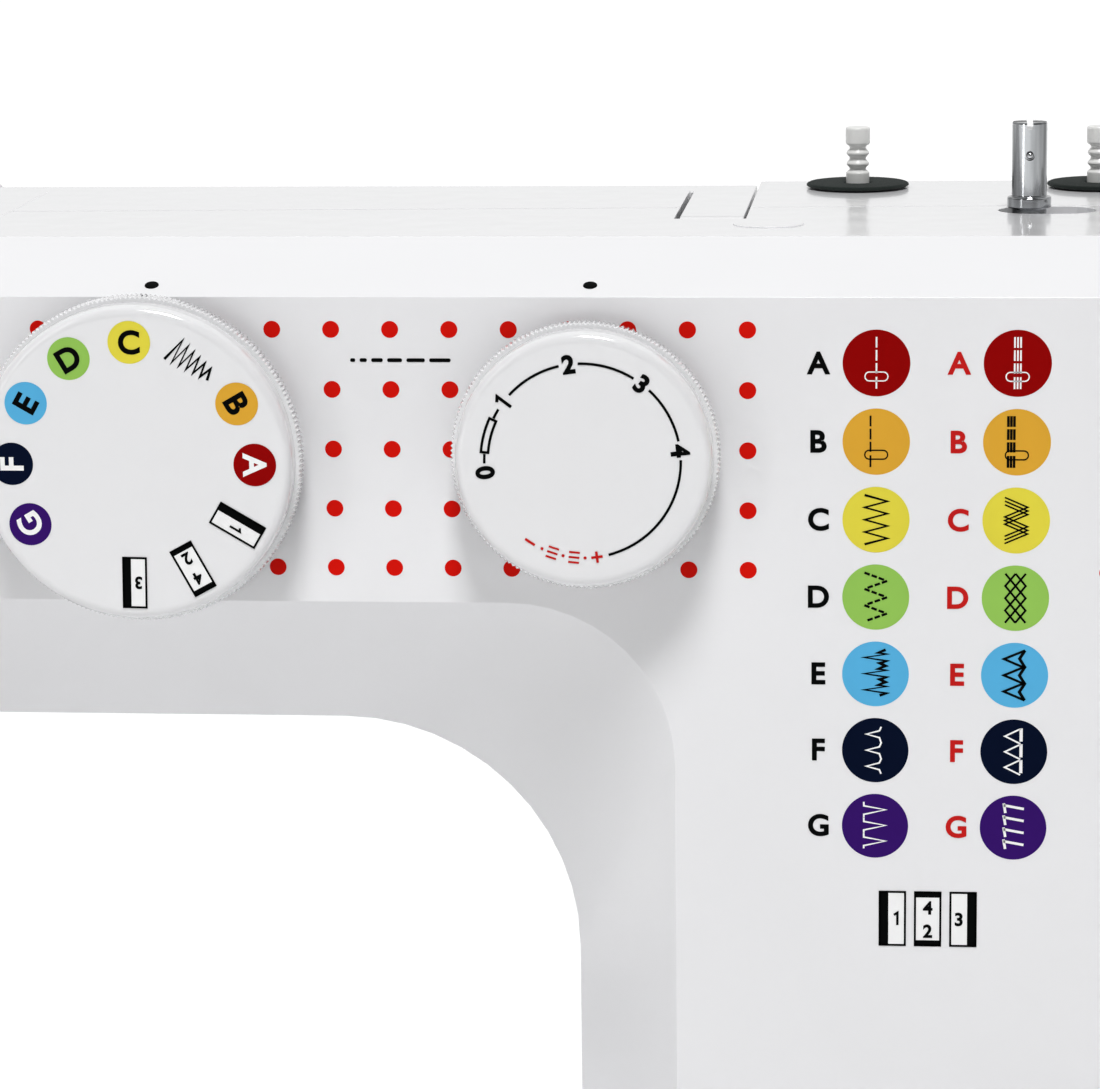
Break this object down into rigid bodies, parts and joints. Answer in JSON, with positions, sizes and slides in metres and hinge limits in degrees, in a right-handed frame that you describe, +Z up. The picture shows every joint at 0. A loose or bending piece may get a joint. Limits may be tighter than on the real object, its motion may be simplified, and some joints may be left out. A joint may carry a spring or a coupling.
{
  "type": "sewing machine",
  "caption": "Free-arm domestic sewing machine with pattern and stitch-length dials, pull-up spool pins, bobbin winder, fold-down carry handle, extension table and a full drive train.",
  "frame": {"origin": "under the middle of the machine, on the surface it stands on", "axes": "+X to the right as the user sees it (handwheel end), +Y to the back, +Z up"},
  "size_m": [0.395, 0.16, 0.3038],
  "materials": {
    "cover_white": "smooth glossy moulded white",
    "dial_white": "polished moulded white with knurled rim",
    "cream_plastic": "satin moulded off-white",
    "felt": "pressed grey-green felt",
    "chrome": "bright nickel-chrome plate",
    "steel": "ground steel",
    "casting": "die-cast, as cast",
    "motor_enamel": "black enamel",
    "black_plastic": "fine-grained black moulding",
    "rubber": "soft black rubber",
    "clear_plastic": "clear smoke-free acrylic",
    "lens": "frosted lamp lens"
  },
  "bodies": {
    "root": {"front_cover": "cover_white", "rear_cover": "cover_white", "side_cover": "cover_white", "lower_housing": "cover_white", "base_plate": "cover_white", "free_arm_cover": "cover_white", "needle_plate": "steel", "foot_front_left": "rubber", "foot_rear_left": "rubber", "foot_front_right": "rubber", "foot_rear_right": "rubber", "arm_frame": "casting", "bed_frame": "casting", "motor": "motor_enamel", "drive_belt": "rubber", "timing_belt": "rubber", "bobbin_case": "black_plastic", "power_inlet": "black_plastic", "lamp_lens": "lens", "spool_felt_left": "felt", "spool_felt_right": "felt", "winder_stopper": "cream_plastic", "presser_spring": "steel"},
    "face_cover": {"face_cover": "cover_white"},
    "bobbin_cover": {"bobbin_cover": "clear_plastic"},
    "extension_table": {"extension_table": "cover_white"},
    "accessory_lid": {"accessory_lid": "cover_white"},
    "main_shaft": {"main_shaft": "steel", "crank_disc": "steel"},
    "handwheel": {"handwheel": "dial_white"},
    "motor_pulley": {"motor_pulley": "steel"},
    "lower_shaft": {"lower_shaft": "steel", "lower_pulley": "black_plastic", "lower_gear": "steel"},
    "rotary_hook": {"rotary_hook": "steel"},
    "bobbin": {"bobbin": "clear_plastic"},
    "take_up_lever": {"take_up_lever": "chrome"},
    "needle_bar_cradle": {"needle_bar_cradle": "casting"},
    "needle_bar": {"needle_bar": "chrome", "connecting_rod": "steel", "needle_clamp": "steel", "needle": "chrome"},
    "presser_bar": {"presser_bar": "chrome", "foot_holder": "steel"},
    "presser_foot": {"presser_foot": "chrome"},
    "presser_lifter": {"presser_lifter": "cream_plastic"},
    "feed_bar": {"feed_bar": "casting"},
    "feed_dog": {"feed_dog": "steel"},
    "drop_feed_lever": {"drop_feed_lever": "cream_plastic"},
    "pattern_dial": {"pattern_dial": "dial_white", "pattern_cam": "cream_plastic"},
    "length_dial": {"length_dial": "dial_white"},
    "tension_dial": {"tension_dial": "dial_white"},
    "reverse_lever": {"reverse_lever": "dial_white"},
    "power_switch": {"power_switch": "black_plastic"},
    "winder_arm": {"winder_arm": "cream_plastic"},
    "winder_spindle": {"winder_spindle": "chrome"},
    "spool_pin_left": {"spool_pin_left": "cream_plastic"},
    "spool_pin_right": {"spool_pin_right": "cream_plastic"},
    "carry_handle": {"carry_handle": "cover_white"}
  },
  "joints": [
    {"name": "main_shaft_turn", "type": "hinge", "parent": "root", "child": "main_shaft", "pos_m": [0.0125, 0.006, 0.246], "axis": [1, 0, 0], "continuous": true},
    {"name": "handwheel_clutch", "type": "slide", "parent": "main_shaft", "child": "handwheel", "axis": [1, 0, 0], "range_m": [0, 0.004]},
    {"name": "motor_pulley_turn", "type": "hinge", "parent": "root", "child": "motor_pulley", "pos_m": [0.0125, 0.004, 0.13], "axis": [1, 0, 0], "continuous": true},
    {"name": "lower_shaft_turn", "type": "hinge", "parent": "root", "child": "lower_shaft", "pos_m": [0.0125, 0, 0.057], "axis": [1, 0, 0], "continuous": true},
    {"name": "hook_turn", "type": "hinge", "parent": "root", "child": "rotary_hook", "pos_m": [-0.1335, -0.015, 0.075], "axis": [0, 0, 1], "continuous": true},
    {"name": "bobbin_spin", "type": "hinge", "parent": "root", "child": "bobbin", "pos_m": [-0.1335, -0.015, 0.075], "axis": [0, 0, 1], "continuous": true},
    {"name": "cradle_swing", "type": "hinge", "parent": "root", "child": "needle_bar_cradle", "pos_m": [-0.1405, 0.006, 0.27], "axis": [0, 1, 0], "range_deg": [-0.9, 0.9]},
    {"name": "needle_bar_slide", "type": "slide", "parent": "needle_bar_cradle", "child": "needle_bar", "axis": [0, 0, 1], "range_m": [-0.031, 0]},
    {"name": "take_up_swing", "type": "hinge", "parent": "root", "child": "take_up_lever", "pos_m": [-0.11, 0.014, 0.2285], "axis": [1, 0, 0], "range_deg": [0, 50]},
    {"name": "presser_lifter_turn", "type": "hinge", "parent": "root", "child": "presser_lifter", "pos_m": [-0.1165, 0.034, 0.168], "axis": [0, 1, 0], "range_deg": [0, 60]},
    {"name": "presser_bar_slide", "type": "slide", "parent": "root", "child": "presser_bar", "axis": [0, 0, 1], "range_m": [-0.006, 0], "deforming": ["presser_spring"]},
    {"name": "presser_foot_tilt", "type": "hinge", "parent": "presser_bar", "child": "presser_foot", "pos_m": [-0.1335, 0.015, 0.1063], "axis": [1, 0, 0], "range_deg": [-10, 3]},
    {"name": "feed_travel", "type": "slide", "parent": "root", "child": "feed_bar", "axis": [0, 1, 0], "range_m": [-0.002, 0.002]},
    {"name": "feed_drop", "type": "slide", "parent": "feed_bar", "child": "feed_dog", "axis": [0, 0, 1], "range_m": [-0.0022, 0]},
    {"name": "drop_feed_shift", "type": "slide", "parent": "root", "child": "drop_feed_lever", "axis": [1, 0, 0], "range_m": [0, 0.012]},
    {"name": "pattern_dial_turn", "type": "hinge", "parent": "root", "child": "pattern_dial", "pos_m": [-0.0271, 0, 0.2536], "axis": [0, 1, 0], "continuous": true},
    {"name": "length_dial_turn", "type": "hinge", "parent": "root", "child": "length_dial", "pos_m": [0.0483, 0, 0.2545], "axis": [0, 1, 0], "range_deg": [-205, 97]},
    {"name": "tension_dial_turn", "type": "hinge", "parent": "root", "child": "tension_dial", "pos_m": [-0.1335, -0.026, 0.256], "axis": [1, 0, 0], "range_deg": [-150, 150]},
    {"name": "reverse_lever_press", "type": "hinge", "parent": "root", "child": "reverse_lever", "pos_m": [0.1375, -0.02, 0.127], "axis": [1, 0, 0], "range_deg": [0, 12], "stiffness_Nm_per_rad": 0.3, "springref_deg": -4.58},
    {"name": "power_switch_rock", "type": "hinge", "parent": "root", "child": "power_switch", "pos_m": [0.1695, 0, 0.12], "axis": [0, 1, 0], "range_deg": [-10, 0]},
    {"name": "winder_shift", "type": "slide", "parent": "root", "child": "winder_arm", "axis": [1, 0, 0], "range_m": [0, 0.0065]},
    {"name": "winder_spin", "type": "hinge", "parent": "winder_arm", "child": "winder_spindle", "pos_m": [0.1225, 0.025, 0.28], "axis": [0, 0, 1], "continuous": true},
    {"name": "spool_pin_left_pull", "type": "slide", "parent": "root", "child": "spool_pin_left", "axis": [0, 0, 1], "range_m": [0, 0.042]},
    {"name": "spool_pin_right_pull", "type": "slide", "parent": "root", "child": "spool_pin_right", "axis": [0, 0, 1], "range_m": [0, 0.042]},
    {"name": "carry_handle_lift", "type": "hinge", "parent": "root", "child": "carry_handle", "pos_m": [0.0125, 0.0191, 0.2821], "axis": [1, 0, 0], "range_deg": [0, 90]},
    {"name": "face_cover_open", "type": "hinge", "parent": "root", "child": "face_cover", "pos_m": [-0.1805, 0.072, 0.226], "axis": [0, 0, 1], "range_deg": [-100, 0]},
    {"name": "bobbin_cover_lift", "type": "hinge", "parent": "root", "child": "bobbin_cover", "pos_m": [-0.1335, -0.0132, 0.0919], "axis": [1, 0, 0], "range_deg": [-35, 0]},
    {"name": "table_pull", "type": "slide", "parent": "root", "child": "extension_table", "axis": [-1, 0, 0], "range_m": [0, 0.14]},
    {"name": "accessory_lid_open", "type": "hinge", "parent": "extension_table", "child": "accessory_lid", "pos_m": [-0.1305, -0.0795, 0.0264], "axis": [1, 0, 0], "range_deg": [0, 90]}
  ],
  "couplings": [
    {"joint": "motor_pulley_turn", "follows": "main_shaft_turn", "ratio": 4.2857},
    {"joint": "lower_shaft_turn", "follows": "main_shaft_turn", "ratio": 1},
    {"joint": "hook_turn", "follows": "main_shaft_turn", "ratio": -2},
    {"joint": "take_up_swing", "follows": "needle_bar_slide", "rad_per_m": -28.14},
    {"joint": "presser_lifter_turn", "follows": "presser_bar_slide", "rad_per_m": -174.53},
    {"joint": "feed_drop", "follows": "drop_feed_shift", "ratio": -0.18}
  ]
}
